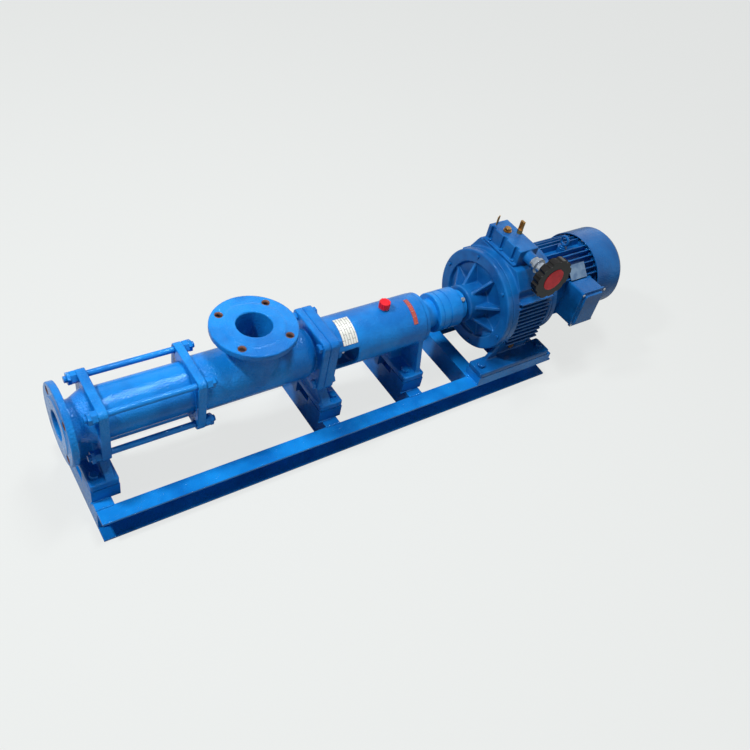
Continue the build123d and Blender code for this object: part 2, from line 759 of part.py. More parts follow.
# ---------------------------------------------------------------- drive shaft and coupling
shaft_shoulder = 4.0
with BuildPart() as drive_shaft:
    add(turned([
        (shaft_head_x, 0), (shaft_head_x, rotor_head_r), (shaft_head_end, rotor_head_r),
        (shaft_head_end, shaft_r), (bearing_left_x, shaft_r), (bearing_left_x, bearing_shaft_r),
        (bearing_left_x + bearing_t, bearing_shaft_r),
        (bearing_left_x + bearing_t, bearing_shaft_r + shaft_shoulder),
        (bearing_right_x, bearing_shaft_r + shaft_shoulder), (bearing_right_x, bearing_shaft_r),
        (bearing_right_x + bearing_t, bearing_shaft_r), (bearing_right_x + bearing_t, shaft_r),
        (spider_x - 3, shaft_r), (spider_x - 3, 0)]))
    with BuildSketch(Plane.YZ.offset(shaft_head_x)):
        Circle(joint_bore_r)
    extrude(amount=28, mode=Mode.SUBTRACT)
    with Locations((shaft_pin_x, 0, 0)):
        Cylinder(joint_pin_r, 3 * rotor_head_r, rotation=(90, 0, 0), mode=Mode.SUBTRACT)
drive_shaft.part.label = "drive_shaft"
export_step(drive_shaft.part, "parts/drive_shaft.step")

with BuildPart() as shaft_joint_pin:
    with Locations((shaft_pin_x, 0, 0)):
        Cylinder(joint_pin_r, 2 * rotor_head_r - 3, rotation=(90, 0, 0))
shaft_joint_pin.part.label = "shaft_joint_pin"
export_step(shaft_joint_pin.part, "parts/shaft_joint_pin.step")

groove = 1.5
with BuildPart() as coupling_pump_half:
    add(turned([
        (coupling_x, shaft_r), (coupling_x, coupling_hub_r - 2), (coupling_x + 2, coupling_hub_r),
        (drum_x, coupling_hub_r), (drum_x, coupling_r - 2), (drum_x + 2, coupling_r),
        (drum_x + 12, coupling_r), (drum_x + 12, coupling_r - groove), (drum_x + 14, coupling_r - groove),
        (drum_x + 14, coupling_r), (spider_x, coupling_r), (spider_x, shaft_r)]))
coupling_pump_half.part.label = "coupling_pump_half"
export_step(coupling_pump_half.part, "parts/coupling_pump_half.step")

with BuildPart() as coupling_spider:
    add(ring(spider_x, spider_t, coupling_r - groove, output_shaft_r + 4))
coupling_spider.part.label = "coupling_spider"
export_step(coupling_spider.part, "parts/coupling_spider.step")

set_screw_r = 3.0
set_screw_len = 14.0
set_screw_angles = (30, 150, 270)
with BuildPart() as coupling_drive_half:
    add(turned([
        (drive_half_x, output_shaft_r), (drive_half_x, coupling_r), (neck_x - 2, coupling_r),
        (neck_x, coupling_r - 2), (neck_x, neck_r), (coupling_end - 2, neck_r),
        (coupling_end, neck_r - 2), (coupling_end, output_shaft_r)]))
    for angle in set_screw_angles:
        screw_hole = Pos(neck_x + neck_len / 2, 0, neck_r - set_screw_len / 2) * Cylinder(
            set_screw_r, set_screw_len, mode=Mode.PRIVATE)
        add(screw_hole.rotate(Axis.X, angle), mode=Mode.SUBTRACT)
coupling_drive_half.part.label = "coupling_drive_half"
export_step(coupling_drive_half.part, "parts/coupling_drive_half.step")

set_screw = Pos(neck_x + neck_len / 2, 0, neck_r) * hex_screw(11.0, 5.0, set_screw_r, set_screw_len)
with BuildPart() as coupling_screws:
    for angle in set_screw_angles:
        add(set_screw.rotate(Axis.X, angle))
coupling_screws.part.label = "coupling_screws"
export_step(coupling_screws.part, "parts/coupling_screws.step")

with BuildPart() as output_shaft:
    add(ring(drive_half_x + 2, band_end - drive_half_x - 6, output_shaft_r, 0))
output_shaft.part.label = "output_shaft"
export_step(output_shaft.part, "parts/output_shaft.step")

# ---------------------------------------------------------------- variator
with BuildPart() as variator_cover:
    add(turned([
        (cover_hub_x, output_shaft_r + fit_gap), (cover_hub_x, cover_hub_r - 2), (cover_hub_x + 2, cover_hub_r),
        (disc_x + recess_depth, cover_hub_r), (disc_x + recess_depth, recess_r - 4), (disc_x, recess_r),
        (disc_x, disc_r - 3), (disc_x + 3, disc_r), (disc_x + disc_t, disc_r),
        (disc_x + disc_t, output_shaft_r + fit_gap)]))
    with BuildSketch(Plane.XZ) as rib_side:
        with BuildLine():
            Polyline((cover_hub_x + 12, cover_hub_r - 3), (disc_x + recess_depth + 1, cover_hub_r - 3),
                     (disc_x + recess_depth + 1, recess_r - 5), (disc_x + 4, recess_r - 5), close=True)
        make_face()
    rib = extrude(amount=rib_t / 2, both=True, mode=Mode.PRIVATE)
    for index in range(rib_count):
        add(rib.rotate(Axis.X, 360 / rib_count * (index + 0.5)))
    with BuildSketch(Plane.YZ.offset(disc_x)):
        with PolarLocations(cover_screw_pcd / 2, cover_screw_count, start_angle=15):
            Circle(3)
    extrude(amount=disc_t, mode=Mode.SUBTRACT)
variator_cover.part.label = "variator_cover"
export_step(variator_cover.part, "parts/variator_cover.step")

variator_screw = Rot(0, -90, 0) * hex_screw(9.0, 4.0, 3.0, disc_t)
with BuildPart() as variator_cover_screws:
    for index in range(cover_screw_count):
        angle = math.radians(15 + 360 / cover_screw_count * index)
        with Locations((disc_x, cover_screw_pcd / 2 * math.cos(angle), cover_screw_pcd / 2 * math.sin(angle))):
            add(variator_screw)
variator_cover_screws.part.label = "variator_cover_screws"
export_step(variator_cover_screws.part, "parts/variator_cover_screws.step")

housing_bottom = -disc_r
housing_top = disc_r
fin_low = -86.0
fin_pitch = 14.0
box_y = 10.0            # centre of the control box across the shaft line
box_x = band_end + 10.0
side_low_y = foot_half - foot_width + 6.0
side_low_z = bed_top + 2.0
drain_x = band_end + 52.0
drain_r = 9.0
with BuildPart() as variator_housing:
    with BuildSketch(Plane.YZ.offset(disc_x + disc_t)):
        Circle(disc_r)
    extrude(amount=band_t)
    with BuildSketch(Plane.YZ.offset(band_end)):
        with BuildLine():
            Polyline(
                (-72, housing_top), (72 + box_y, housing_top), (housing_half, 96), (housing_half, fin_low),
                (side_low_y, side_low_z), (foot_half - foot_width - 14, housing_bottom - 8),
                (-foot_half + foot_width + 14, housing_bottom - 8),
                (-side_low_y, side_low_z), (-housing_half, fin_low), (-housing_half, 96),
                close=True)
        make_face()
    extrude(amount=housing_len)
    for side in (-1, 1):
        with BuildSketch(Plane.XY.offset(bed_top)):
            with Locations((bed_x + variator_foot_len / 2, side * bed_y)):
                RectangleRounded(variator_foot_len, foot_width, 6)
            with Locations([(bed_x + reach, side * bed_y) for reach in (20, variator_foot_len - 20)]):
                Circle(foot_screw_r + 1, mode=Mode.SUBTRACT)
        extrude(amount=foot_slab_t)
        fin_middle = side * (housing_half + housing_fin_reach / 2 - 1)
        with Locations([(band_end + housing_len / 2 - 3, fin_middle, fin_low + fin_pitch * (index + 1))
                        for index in range(housing_fin_count)]):
            Box(housing_len - 6, housing_fin_reach + 2, housing_fin_t)
        with BuildSketch(Plane.XZ.offset(-side * (foot_half - foot_width + 10))):
            with BuildLine():
                Polyline((bed_x + 44, variator_foot_top - 2), (band_end + 4, variator_foot_top - 2),
                         (band_end + 4, fin_low + 6), close=True)
            make_face()
        extrude(amount=6, both=True)
    with BuildSketch(Plane.YZ.offset(housing_end)):
        Circle(motor_flange_r)
    extrude(amount=rear_flange_t)
    with BuildSketch(Plane.YZ.offset(disc_x + disc_t)):
        Circle(output_shaft_r + 1)
    extrude(amount=band_t, mode=Mode.SUBTRACT)
    with BuildSketch(Plane.YZ.offset(housing_end)):
        with PolarLocations(107.5, 8, start_angle=22.5):
            Circle(6)
    extrude(amount=rear_flange_t, mode=Mode.SUBTRACT)
variator_housing.part.label = "variator_housing"
export_step(variator_housing.part, "parts/variator_housing.step")

with BuildPart() as variator_foot_bolts:
    with Locations([(bed_x + reach, side * bed_y, variator_foot_top)
                    for reach in (20, variator_foot_len - 20) for side in (-1, 1)]):
        add(hex_screw(19.0, 8.0, foot_screw_r, foot_slab_t))
variator_foot_bolts.part.label = "variator_foot_bolts"
export_step(variator_foot_bolts.part, "parts/variator_foot_bolts.step")

# ---------------------------------------------------------------- control box and handwheel
wheel_x = box_x + 32.0
wheel_z = housing_top + box_flange_t + (box_height - box_flange_t) / 2
box_front = box_y - box_len_y / 2
sleeve_end = box_front - sleeve_len
box_notches = (-46.0, 0.0, 46.0)
box_screw_r = 2.5
with BuildPart() as control_box:
    with BuildSketch(Plane.XY.offset(housing_top)):
        with Locations((box_x + box_width / 2, box_y)):
            RectangleRounded(box_width + 2 * box_flange_lip, box_len_y, 5)
    extrude(amount=box_flange_t)
    with BuildSketch(Plane.XY.offset(housing_top + box_flange_t)):
        with Locations((box_x + box_width / 2, box_y)):
            Rectangle(box_width, box_len_y)
        with Locations([(box_x, box_y + reach) for reach in box_notches]):
            Rectangle(14, 12, mode=Mode.SUBTRACT)
    extrude(amount=box_height - box_flange_t)
    with BuildSketch(Plane.XY.offset(housing_top)):
        with Locations([(box_x, box_y + reach) for reach in box_notches]):
            Circle(box_screw_r)
    extrude(amount=box_flange_t, mode=Mode.SUBTRACT)
    with BuildSketch(Plane.XZ.offset(-sleeve_end)):
        with Locations((wheel_x, wheel_z)):
            Circle(sleeve_r)
    extrude(amount=-sleeve_len - 10)
    with BuildSketch(Plane.XZ.offset(-sleeve_end)):
        with Locations((wheel_x, wheel_z)):
            Circle(wheel_shaft_r + fit_gap)
    extrude(amount=-sleeve_len - 40, mode=Mode.SUBTRACT)
control_box.part.label = "control_box"
export_step(control_box.part, "parts/control_box.step")

box_top = housing_top + box_height
plug_y = box_y + 22.0
vent_y = box_y + 4.0
pin_r = 1.6
vent_x = box_x + box_width - 10.0
plug_x = box_x + 26.0
with BuildPart() as box_fittings:
    with BuildSketch(Plane.XY.offset(box_top)):
        with Locations((plug_x, plug_y)):
            Circle(11)
    extrude(amount=3)
    with BuildSketch(Plane.XY.offset(box_top + 3)):
        with Locations((plug_x, plug_y)):
            RegularPolygon(radius=9, side_count=6)
    extrude(amount=7)
    with BuildSketch(Plane.XY.offset(box_top)):
        with Locations((box_x + 14, box_y + 54), (box_x + 22, box_y + 58)):
            Circle(pin_r)
    extrude(amount=24)
    with BuildSketch(Plane.XY.offset(box_top)):
        with Locations((vent_x, vent_y)):
            Circle(7)
    extrude(amount=12)
    with BuildSketch(Plane.XY.offset(box_top + 12)):
        with Locations((vent_x, vent_y)):
            Rectangle(6, 12)
    extrude(amount=24)
box_fittings.part.label = "box_fittings"
export_step(box_fittings.part, "parts/box_fittings.step")

box_screw = hex_screw(9.0, 4.0, box_screw_r, box_flange_t)
with BuildPart() as box_screws:
    with Locations([(box_x, box_y + reach, housing_top + box_flange_t) for reach in box_notches]):
        add(box_screw)
box_screws.part.label = "box_screws"
export_step(box_screws.part, "parts/box_screws.step")

drain_z = (fin_low + variator_foot_top) / 2
drain_y = -housing_half + (housing_half - side_low_y) * (fin_low - drain_z) / (fin_low - side_low_z)
drain_plane = Plane(origin=(drain_x, drain_y, drain_z), x_dir=(1, 0, 0),
                    z_dir=(0, side_low_z - fin_low, side_low_y - housing_half))
with BuildPart() as drain_plug:
    with BuildSketch(drain_plane):
        RegularPolygon(radius=drain_r, side_count=6)
    extrude(amount=drain_r / 2)
drain_plug.part.label = "drain_plug"
export_step(drain_plug.part, "parts/drain_plug.step")

wheel_face = wheel_reach + wheel_t / 2
wheel_back = wheel_reach - wheel_t / 2
lobe_r = 8.0
with BuildPart() as handwheel:
    with BuildSketch(Plane.XZ.offset(wheel_back)):
        with Locations((wheel_x, wheel_z)):
            Circle(wheel_r - 2)
            with PolarLocations(wheel_r + 2, wheel_lobes):
                Circle(lobe_r, mode=Mode.SUBTRACT)
            Circle(wheel_shaft_r, mode=Mode.SUBTRACT)
    extrude(amount=wheel_t)
    with BuildSketch(Plane.XZ.offset(wheel_face)):
        with Locations((wheel_x, wheel_z)):
            Circle(wheel_r * 0.52)
    extrude(amount=-4, mode=Mode.SUBTRACT)
    with BuildSketch(Plane.XZ.offset(wheel_back)):
        with Locations((wheel_x, wheel_z)):
            Circle(wheel_r * 0.72)
            Circle(wheel_hub_r + 4, mode=Mode.SUBTRACT)
    extrude(amount=5, mode=Mode.SUBTRACT)
handwheel.part.label = "handwheel"
export_step(handwheel.part, "parts/handwheel.step")

with BuildPart() as handwheel_cap:
    with BuildSketch(Plane.XZ.offset(wheel_face - 4)):
        with Locations((wheel_x, wheel_z)):
            Circle(wheel_r * 0.52)
    extrude(amount=5)
handwheel_cap.part.label = "handwheel_cap"
export_step(handwheel_cap.part, "parts/handwheel_cap.step")

hub_start = -sleeve_end + seat_gap
with BuildPart() as handwheel_hub:
    with BuildSketch(Plane.XZ.offset(hub_start)):
        with Locations((wheel_x, wheel_z)):
            Circle(wheel_hub_r)
            Circle(wheel_shaft_r, mode=Mode.SUBTRACT)
    extrude(amount=wheel_back - hub_start)
    with BuildSketch(Plane.XZ.offset(hub_start + 12)):
        with Locations((wheel_x, wheel_z)):
            Circle(wheel_hub_r + 5)
            Circle(wheel_shaft_r, mode=Mode.SUBTRACT)
    extrude(amount=8)
handwheel_hub.part.label = "handwheel_hub"
export_step(handwheel_hub.part, "parts/handwheel_hub.step")

with BuildPart() as control_screw:
    with BuildSketch(Plane.XZ.offset(-box_front - 30)):
        with Locations((wheel_x, wheel_z)):
            Circle(wheel_shaft_r)
    extrude(amount=wheel_face - 4 + box_front + 30)
control_screw.part.label = "control_screw"
export_step(control_screw.part, "parts/control_screw.step")

# ---------------------------------------------------------------- motor
flange_bolt_pcd = 215.0
with BuildPart() as motor_flange:
    add(turned([
        (motor_flange_x, 0), (motor_flange_x, motor_flange_r), (motor_x, motor_flange_r), (motor_x, motor_r),
        (motor_x + 12, motor_r - 4), (motor_x + 12, 0)]))
    with BuildSketch(Plane.YZ.offset(motor_flange_x)):
        with PolarLocations(flange_bolt_pcd / 2, 8, start_angle=22.5):
            Circle(6)
    extrude(amount=motor_flange_t, mode=Mode.SUBTRACT)
motor_flange.part.label = "motor_flange"
export_step(motor_flange.part, "parts/motor_flange.step")

flange_screw = Rot(0, 90, 0) * hex_screw(18.0, 8.0, 5.5, rear_flange_t + motor_flange_t)
with BuildPart() as motor_flange_bolts:
    for index in range(8):
        angle = math.radians(22.5 + 45 * index)
        with Locations((motor_x, flange_bolt_pcd / 2 * math.cos(angle), flange_bolt_pcd / 2 * math.sin(angle))):
            add(flange_screw)
motor_flange_bolts.part.label = "motor_flange_bolts"
export_step(motor_flange_bolts.part, "parts/motor_flange_bolts.step")

frame_start = motor_x + 12.0
term_x = motor_end - term_back_gap
term_back = 92.0
eyebolt_x = frame_start + eyebolt_back
boss_r = 13.0
fin_angles = [360.0 / motor_fin_count * index for index in range(motor_fin_count)]
term_half_angle = math.degrees(math.atan2(term_height / 2 + motor_fin_t, term_back))
shown_fins = [a for a in fin_angles if abs(a - 180.0) > term_half_angle and abs(a - 90.0) > 7]
with BuildPart() as motor_frame:
    with BuildSketch(Plane.YZ.offset(frame_start)):
        Circle(motor_r)
    extrude(amount=motor_end - frame_start)
    with BuildSketch(Plane.YZ.offset(frame_start)):
        for angle in shown_fins:
            with PolarLocations((motor_r + motor_fin_r) / 2 - 1, 1, start_angle=angle):
                Rectangle(motor_fin_r - motor_r + 2, motor_fin_t)
    extrude(amount=motor_end - frame_start)
    with BuildSketch(Plane.XZ.offset(motor_r - 30)):
        with Locations((term_x + term_len / 2, 0)):
            Rectangle(term_len, term_height - 4)
    extrude(amount=term_back - motor_r + 30)
    with BuildSketch(Plane.XY.offset(motor_r - 4)):
        with Locations((eyebolt_x, 0)):
            Circle(boss_r)
    extrude(amount=motor_fin_r - motor_r + 4)
    with BuildSketch(Plane.YZ.offset(motor_end - 60)):
        Circle(motor_shaft_r + fit_gap)
    extrude(amount=60, mode=Mode.SUBTRACT)
motor_frame.part.label = "motor_frame"
export_step(motor_frame.part, "parts/motor_frame.step")

with BuildPart() as motor_rear_shield:
    add(ring(motor_end, rear_shield_t, motor_fin_r - 8, motor_shaft_r + fit_gap))
    with BuildSketch(Plane.YZ.offset(shield_end - 8)):
        with PolarLocations(cowl_r - cowl_t - 12.5, 4, start_angle=45):
            Rectangle(23, 16)
    extrude(amount=8)
motor_rear_shield.part.label = "motor_rear_shield"
export_step(motor_rear_shield.part, "parts/motor_rear_shield.step")

with BuildPart() as eyebolt:
    with BuildSketch(Plane.XY.offset(motor_fin_r)):
        with Locations((eyebolt_x, 0)):
            Circle(10)
    extrude(amount=4)
    with BuildSketch(Plane.XY.offset(motor_fin_r + 4)):
        with Locations((eyebolt_x, 0)):
            Circle(4.5)
    extrude(amount=6)
    with Locations((eyebolt_x, 0, motor_fin_r + 20)):
        Torus(12, 4, rotation=(0, 90, 0))
eyebolt.part.label = "eyebolt"
export_step(eyebolt.part, "parts/eyebolt.step")

plate_angle = 135.0
with BuildPart() as motor_nameplate:
    with BuildSketch(Plane.YZ.offset(term_x + 4)):
        with Locations(Location((0, 0), plate_angle)):
            with Locations((motor_fin_r + 0.6, 0)):
                Rectangle(1.2, 42)
    extrude(amount=60)
motor_nameplate.part.label = "motor_nameplate"
export_step(motor_nameplate.part, "parts/motor_nameplate.step")

lid_back = term_reach - term_lid_t
lid_screw_r = 2.0
lid_flange_t = 5.0
lid_corners = [(term_x + term_len / 2 + sx * (term_len / 2 - 1), sz * (term_height / 2 - 4))
               for sx in (-1, 1) for sz in (-1, 1)]
with BuildPart() as terminal_box:
    with BuildSketch(Plane.XZ.offset(term_back)):
        with Locations((term_x + term_len / 2, 0)):
            RectangleRounded(term_len, term_height, 6)
    extrude(amount=lid_back - term_back)
terminal_box.part.label = "terminal_box"
export_step(terminal_box.part, "parts/terminal_box.step")

with BuildPart() as terminal_lid:
    with BuildSketch(Plane.XZ.offset(lid_back)):
        with Locations((term_x + term_len / 2, 0)):
            RectangleRounded(term_len + 6, term_height + 6, 8)
        with Locations(lid_corners):
            Circle(lid_screw_r, mode=Mode.SUBTRACT)
    extrude(amount=lid_flange_t)
    with BuildSketch(Plane.XZ.offset(lid_back + lid_flange_t)):
        with Locations((term_x + term_len / 2, 0)):
            RectangleRounded(term_len - 12, term_height - 12, 6)
    extrude(amount=term_lid_t - lid_flange_t, taper=15)
terminal_lid.part.label = "terminal_lid"
export_step(terminal_lid.part, "parts/terminal_lid.step")

lid_screw = Rot(90, 0, 0) * hex_screw(7.0, 3.0, lid_screw_r, lid_flange_t)
with BuildPart() as terminal_lid_screws:
    with Locations([(x, -lid_back - lid_flange_t, z) for x, z in lid_corners]):
        add(lid_screw)
terminal_lid_screws.part.label = "terminal_lid_screws"
export_step(terminal_lid_screws.part, "parts/terminal_lid_screws.step")

gland_z = -term_height / 2
with BuildPart() as cable_gland:
    with BuildSketch(Plane.XY.offset(gland_z)):
        with Locations((term_x + term_len / 2, -(term_back + lid_back) / 2)):
            RegularPolygon(radius=14, side_count=6)
    extrude(amount=-5)
    with BuildSketch(Plane.XY.offset(gland_z - 5)):
        with Locations((term_x + term_len / 2, -(term_back + lid_back) / 2)):
            Circle(10)
    extrude(amount=-6)
cable_gland.part.label = "cable_gland"
export_step(cable_gland.part, "parts/cable_gland.step")

slot_rings = (34.0, 54.0, 74.0)
with BuildPart() as fan_cowl:
    with BuildSketch(Plane.XZ):
        with BuildLine():
            Polyline((cowl_x, 0), (cowl_x, cowl_r), (cowl_end - 18, cowl_r), (cowl_end - 6, cowl_r - 8),
                     (cowl_end, cowl_r - 22), (cowl_end, 0), close=True)
        make_face()
    revolve(axis=Axis.X)
    with BuildSketch(Plane.XZ):
        with BuildLine():
            Polyline((cowl_x, 0), (cowl_x, cowl_r - cowl_t), (cowl_end - 18.5, cowl_r - cowl_t),
                     (cowl_end - 7.6, cowl_r - cowl_t - 7.2), (cowl_end - cowl_t, cowl_r - cowl_t - 20.6),
                     (cowl_end - cowl_t, 0), close=True)
        make_face()
    revolve(axis=Axis.X, mode=Mode.SUBTRACT)
    with BuildSketch(Plane.YZ.offset(cowl_end)):
        for radius in slot_rings:
            for quarter in range(4):
                SlotArc(CenterArc((0, 0), radius, 90 * quarter + 12, 66), 7)
    extrude(amount=-3 * cowl_t, mode=Mode.SUBTRACT)
fan_cowl.part.label = "fan_cowl"
export_step(fan_cowl.part, "parts/fan_cowl.step")

with BuildPart() as motor_shaft:
    add(ring(motor_end - 58, shield_end - motor_end + 58 + 46, motor_shaft_r, 0))
motor_shaft.part.label = "motor_shaft"
export_step(motor_shaft.part, "parts/motor_shaft.step")

fan_x = shield_end + 8.0
fan_len = 34.0
with BuildPart() as cooling_fan:
    add(ring(fan_x, fan_len, motor_shaft_r + 10, motor_shaft_r))
    add(ring(fan_x, 3, fan_r, motor_shaft_r + 9))
    for index in range(fan_blades):
        angle = 360 / fan_blades * index
        with BuildSketch(Plane.YZ.offset(fan_x)):
            with Locations(Location((0, 0), angle)):
                with Locations(((fan_r + motor_shaft_r + 8) / 2, 0)):
                    Rectangle(fan_r - motor_shaft_r - 8, 3)
        extrude(amount=fan_len - 4)
cooling_fan.part.label = "cooling_fan"
export_step(cooling_fan.part, "parts/cooling_fan.step")
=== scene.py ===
"""Looks of the progressive cavity pump set.

Enamel, bare metal, rubber and plain plates go on the solids. Castings get rounded edges, and the scene adds
weld beads, thread rings, flange hole walls and the fillet of the suction neck.
"""
import math

import bpy
from mathutils import Matrix, Vector


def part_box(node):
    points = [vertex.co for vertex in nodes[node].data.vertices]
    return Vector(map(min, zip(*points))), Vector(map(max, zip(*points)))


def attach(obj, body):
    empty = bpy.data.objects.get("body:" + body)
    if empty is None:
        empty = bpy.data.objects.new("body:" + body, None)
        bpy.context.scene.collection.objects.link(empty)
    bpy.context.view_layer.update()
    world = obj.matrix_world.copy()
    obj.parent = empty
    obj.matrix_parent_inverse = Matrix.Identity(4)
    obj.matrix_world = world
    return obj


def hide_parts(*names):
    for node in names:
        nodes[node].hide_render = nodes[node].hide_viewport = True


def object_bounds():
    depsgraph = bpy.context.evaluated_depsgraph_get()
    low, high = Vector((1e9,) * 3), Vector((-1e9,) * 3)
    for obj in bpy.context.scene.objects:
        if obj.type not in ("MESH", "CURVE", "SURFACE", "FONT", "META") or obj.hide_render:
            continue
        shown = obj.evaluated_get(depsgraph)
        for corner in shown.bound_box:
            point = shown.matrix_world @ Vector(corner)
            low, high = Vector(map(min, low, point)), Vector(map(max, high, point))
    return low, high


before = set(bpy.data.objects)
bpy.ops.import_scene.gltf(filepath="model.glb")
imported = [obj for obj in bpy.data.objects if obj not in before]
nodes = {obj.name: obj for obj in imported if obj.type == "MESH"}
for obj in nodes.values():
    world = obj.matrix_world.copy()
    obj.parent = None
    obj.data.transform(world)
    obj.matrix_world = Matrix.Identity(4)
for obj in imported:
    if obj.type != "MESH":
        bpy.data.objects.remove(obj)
cad_low, cad_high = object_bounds()
BASE = "frame"

# ---------------------------------------------------------------- camera, lamps and floor
EYE = Vector((-0.226, -1.102, 1.286))
LOOK = Vector((0.491, 0.524, -0.696)).normalized()
UP = Vector((0.278, 0.663, 0.695))
side = LOOK.cross(UP).normalized()
camera_data = bpy.data.cameras.new("studio_camera")
camera_data.sensor_width = 36.0
camera_data.lens = 38.2
camera = bpy.data.objects.new("studio_camera", camera_data)
bpy.context.scene.collection.objects.link(camera)
camera.matrix_world = Matrix.Translation(EYE) @ Matrix((side, side.cross(LOOK), -LOOK)).transposed().to_4x4()
bpy.context.scene.camera = camera
bpy.context.scene.view_settings.view_transform = "Standard"


def linear(hex_colour):
    """The linear RGBA of an sRGB hex colour."""
    parts = [int(hex_colour[i:i + 2], 16) / 255 for i in (0, 2, 4)]
    return [p / 12.92 if p <= 0.04045 else ((p + 0.055) / 1.055) ** 2.4 for p in parts] + [1.0]


def add_node(tree, kind, settings=None, **sockets):
    """Adds a node; sockets are given by name with _ for a space, as a value or as another node's output."""
    made = tree.nodes.new(kind)
    for key, value in (settings or {}).items():
        setattr(made, key, value)
    for key, value in sockets.items():
        wanted = key.replace("_", " ")
        socket = made.inputs[int(key[1:])] if key[0] == "n" and key[1:].isdigit() else made.inputs[wanted]
        if isinstance(value, bpy.types.NodeSocket):
            tree.links.new(value, socket)
        else:
            socket.default_value = value
    return made


def new_material(name):
    material = bpy.data.materials.new(name)
    material.use_nodes = True
    material.node_tree.nodes.clear()
    return material, material.node_tree


def area_lamp(name, place, aim, size, watts):
    data = bpy.data.lights.new(name, "AREA")
    data.shape = "RECTANGLE"
    data.size, data.size_y = size
    data.energy = watts
    lamp = bpy.data.objects.new(name, data)
    bpy.context.scene.collection.objects.link(lamp)
    lamp.location = place
    lamp.rotation_euler = (Vector(aim) - Vector(place)).to_track_quat("-Z", "Y").to_euler()


MIDDLE = ((cad_low + cad_high) / 2).to_tuple()
# name, place in m, size in m, watts
LAMPS = (
    ("key_lamp", (-1.2, 0.35, 2.4), (0.26, 0.26), 66.0),
    ("top_lamp", (0.75, 0.02, 2.6), (0.9, 0.3), 52.0),
    ("front_lamp", (0.9, -2.2, 1.0), (1.6, 0.8), 3.0),
)
for lamp_name, lamp_place, lamp_size, lamp_watts in LAMPS:
    area_lamp(lamp_name, lamp_place, MIDDLE, lamp_size, lamp_watts)

WORLD_FILL = 0.12
world = bpy.data.worlds.new("studio_world")
world.use_nodes = True
world.node_tree.nodes.clear()
rays = add_node(world.node_tree, "ShaderNodeLightPath")
direct = add_node(world.node_tree, "ShaderNodeMath", {"operation": "MAXIMUM"},
                  n0=rays.outputs["Is Camera Ray"], n1=rays.outputs["Is Transmission Ray"])
seen = add_node(world.node_tree, "ShaderNodeMath", {"operation": "MAXIMUM"},
                n0=direct.outputs[0], n1=rays.outputs["Is Glossy Ray"])
strength = add_node(world.node_tree, "ShaderNodeMapRange", None, Value=seen.outputs[0], To_Min=WORLD_FILL,
                    To_Max=1.0)
sky = add_node(world.node_tree, "ShaderNodeBackground", None, Color=(1.0, 1.0, 1.0, 1.0),
               Strength=strength.outputs[0])
add_node(world.node_tree, "ShaderNodeOutputWorld", None, Surface=sky.outputs[0])
bpy.context.scene.world = world

FLOOR_DROP = 0.0004
FLOOR_SIZE = 60.0
FLOOR_GLOW_SHARE = 0.8
bpy.ops.object.select_all(action="DESELECT")
bpy.ops.mesh.primitive_plane_add(size=FLOOR_SIZE, location=(MIDDLE[0], MIDDLE[1], cad_low.z - FLOOR_DROP))
floor = bpy.context.active_object
floor.name = "studio_floor"
floor_paint, tree = new_material("matt_floor_paint")
shade = add_node(tree, "ShaderNodeBsdfPrincipled", None, Base_Color=linear("b4b9b7"), Roughness=0.9)
glow = add_node(tree, "ShaderNodeEmission", None, Color=linear("f6f8f7"), Strength=0.98)
rays = add_node(tree, "ShaderNodeLightPath")
half = add_node(tree, "ShaderNodeMath", {"operation": "MULTIPLY"}, n0=rays.outputs["Is Camera Ray"],
                n1=FLOOR_GLOW_SHARE)
both = add_node(tree, "ShaderNodeMixShader", None, n0=half.outputs[0], n1=shade.outputs[0], n2=glow.outputs[0])
add_node(tree, "ShaderNodeOutputMaterial", None, Surface=both.outputs[0])
floor.data.materials.append(floor_paint)


# ---------------------------------------------------------------- finishes
def enamel(name, bright, deep, grain_mm, grain_depth_mm, roughness, edge_mm):
    """Gloss enamel sprayed over metal: two blues that drift, orange peel, and edges rounded by the paint."""
    material, tree = new_material(name)
    place = add_node(tree, "ShaderNodeTexCoord").outputs["Object"]
    drift = add_node(tree, "ShaderNodeTexNoise", None, Vector=place, Scale=9.0, Detail=3.0, Roughness=0.6)
    peel = add_node(tree, "ShaderNodeTexNoise", None, Vector=place, Scale=1000.0 / grain_mm, Detail=2.0,
                    Roughness=0.55)
    runs = add_node(tree, "ShaderNodeTexNoise", None, Vector=place, Scale=55.0, Detail=2.0)
    tint = add_node(tree, "ShaderNodeMapRange", None, Value=drift.outputs["Fac"], From_Min=0.38, From_Max=0.62)
    colour = add_node(tree, "ShaderNodeMix", {"data_type": "RGBA"}, n0=tint.outputs[0], n6=linear(deep),
                      n7=linear(bright))
    gloss = add_node(tree, "ShaderNodeMapRange", None, Value=runs.outputs["Fac"], From_Min=0.3, From_Max=0.7,
                     To_Min=roughness - 0.03, To_Max=roughness + 0.05)
    edge = add_node(tree, "ShaderNodeBevel", {"samples": 4}, Radius=edge_mm / 1000)
    waves = add_node(tree, "ShaderNodeBump", None, Strength=0.5, Distance=0.0012, Height=runs.outputs["Fac"],
                     Normal=edge.outputs[0])
    skin = add_node(tree, "ShaderNodeBump", None, Strength=0.8, Distance=grain_depth_mm / 1000,
                    Height=peel.outputs["Fac"], Normal=waves.outputs[0])
    paint = add_node(tree, "ShaderNodeBsdfPrincipled", None, Base_Color=colour.outputs[2],
                     Roughness=gloss.outputs[0], IOR=1.5, Normal=skin.outputs[0],
                     Specular_IOR_Level=0.34, Specular_Tint=linear("9ccbff"))
    add_node(tree, "ShaderNodeOutputMaterial", None, Surface=paint.outputs[0])
    return material


